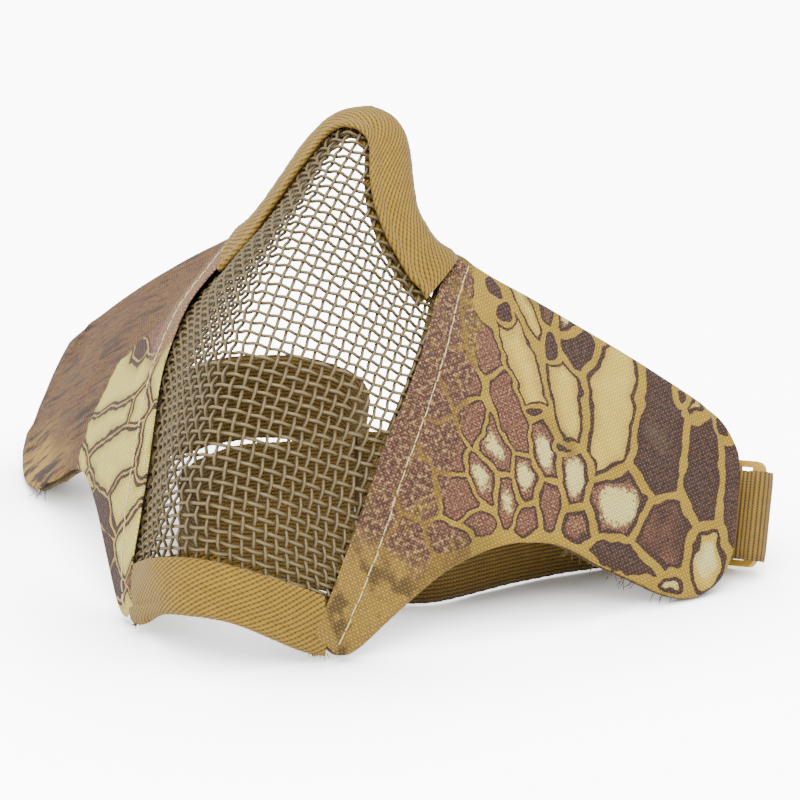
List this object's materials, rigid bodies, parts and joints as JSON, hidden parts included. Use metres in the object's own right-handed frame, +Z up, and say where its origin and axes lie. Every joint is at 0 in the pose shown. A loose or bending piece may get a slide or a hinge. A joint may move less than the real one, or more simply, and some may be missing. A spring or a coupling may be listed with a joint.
{
  "type": "half face mask",
  "caption": "Half face mask: dished woven-wire front with fabric-bound nose and chin edges, two padded fabric cheek wings hinged along its sides, elastic head strap through tri-glide buckles.",
  "frame": {"origin": "centre of the bounding box in X and Y, on the plane the resting mask stands on", "axes": "+Z up; +X across the mask towards the wearer's left; -Y the way the wearer faces. Left and right in node names are as seen from the front, so right is +X."},
  "size_m": [0.2334, 0.1452, 0.127],
  "materials": {
    "mesh_paint": "brown-green painted steel wire, satin",
    "binding": "khaki twill elastic binding tape",
    "camo": "printed plain-weave nylon, scale camouflage in browns, tan and khaki",
    "foam": "open-cell foam pad",
    "lining": "khaki knitted lining",
    "webbing": "khaki elastic webbing, ribbed",
    "plastic": "coyote-tan moulded nylon, matte",
    "thread": "cream sewing thread"
  },
  "bodies": {
    "front_shell": {"mesh_weft_wires": "mesh_paint", "mesh_warp_wires": "mesh_paint", "nose_binding": "binding", "nose_padding": "foam", "chin_binding": "binding", "right_hem": "camo", "right_seam_facing": "lining", "right_seam_stitches": "thread", "left_hem": "camo", "left_seam_facing": "lining", "left_seam_stitches": "thread"},
    "right_wing": {"right_wing_cover": "camo", "right_wing_foam": "foam", "right_wing_lining": "lining", "right_webbing_tab": "webbing"},
    "left_wing": {"left_wing_cover": "camo", "left_wing_foam": "foam", "left_wing_lining": "lining", "left_webbing_tab": "webbing"},
    "right_buckle": {"right_tri_glide": "plastic"},
    "left_buckle": {"left_tri_glide": "plastic"},
    "right_strap": {"strap_right_run": "webbing"},
    "centre_strap": {"strap_centre_slack": "webbing"},
    "left_strap": {"strap_left_run": "webbing"}
  },
  "joints": [
    {"name": "right_wing_fold", "type": "hinge", "parent": "front_shell", "child": "right_wing", "pos_m": [0.03658, -0.02631, 0.04016], "axis": [0.0327, 0.6935, 0.7197], "range_deg": [-4, 8], "stiffness_Nm_per_rad": 0.5},
    {"name": "left_wing_fold", "type": "hinge", "parent": "front_shell", "child": "left_wing", "pos_m": [-0.03748, -0.02631, 0.04016], "axis": [0.0327, -0.6935, -0.7197], "range_deg": [-4, 5], "stiffness_Nm_per_rad": 0.5},
    {"name": "right_buckle_swing", "type": "hinge", "parent": "right_wing", "child": "right_buckle", "pos_m": [0.11126, 0.05742, 0.01579], "axis": [-0.0552, 0.3866, 0.9206], "range_deg": [-4, 1], "stiffness_Nm_per_rad": 0.1},
    {"name": "left_buckle_swing", "type": "hinge", "parent": "left_wing", "child": "left_buckle", "pos_m": [-0.10047, 0.05034, 0.01289], "axis": [0.0206, -0.7028, -0.7111], "range_deg": [-4, 1], "stiffness_Nm_per_rad": 0.1},
    {"name": "right_strap_swing", "type": "hinge", "parent": "right_buckle", "child": "right_strap", "pos_m": [0.09654, 0.05928, 0.01413], "axis": [-0.0552, 0.3866, 0.9206], "range_deg": [-3, 1.5], "stiffness_Nm_per_rad": 0.1},
    {"name": "left_strap_swing", "type": "hinge", "parent": "left_buckle", "child": "left_strap", "pos_m": [-0.09093, 0.04231, 0.0211], "axis": [0.0206, -0.7028, -0.7111], "range_deg": [-4, 1.5], "stiffness_Nm_per_rad": 0.1},
    {"name": "slack_bend", "type": "hinge", "parent": "right_strap", "child": "centre_strap", "pos_m": [-0.02745, -0.01718, 0.0135], "axis": [0, 0, 1], "range_deg": [-5, 5], "stiffness_Nm_per_rad": 0.02}
  ]
}
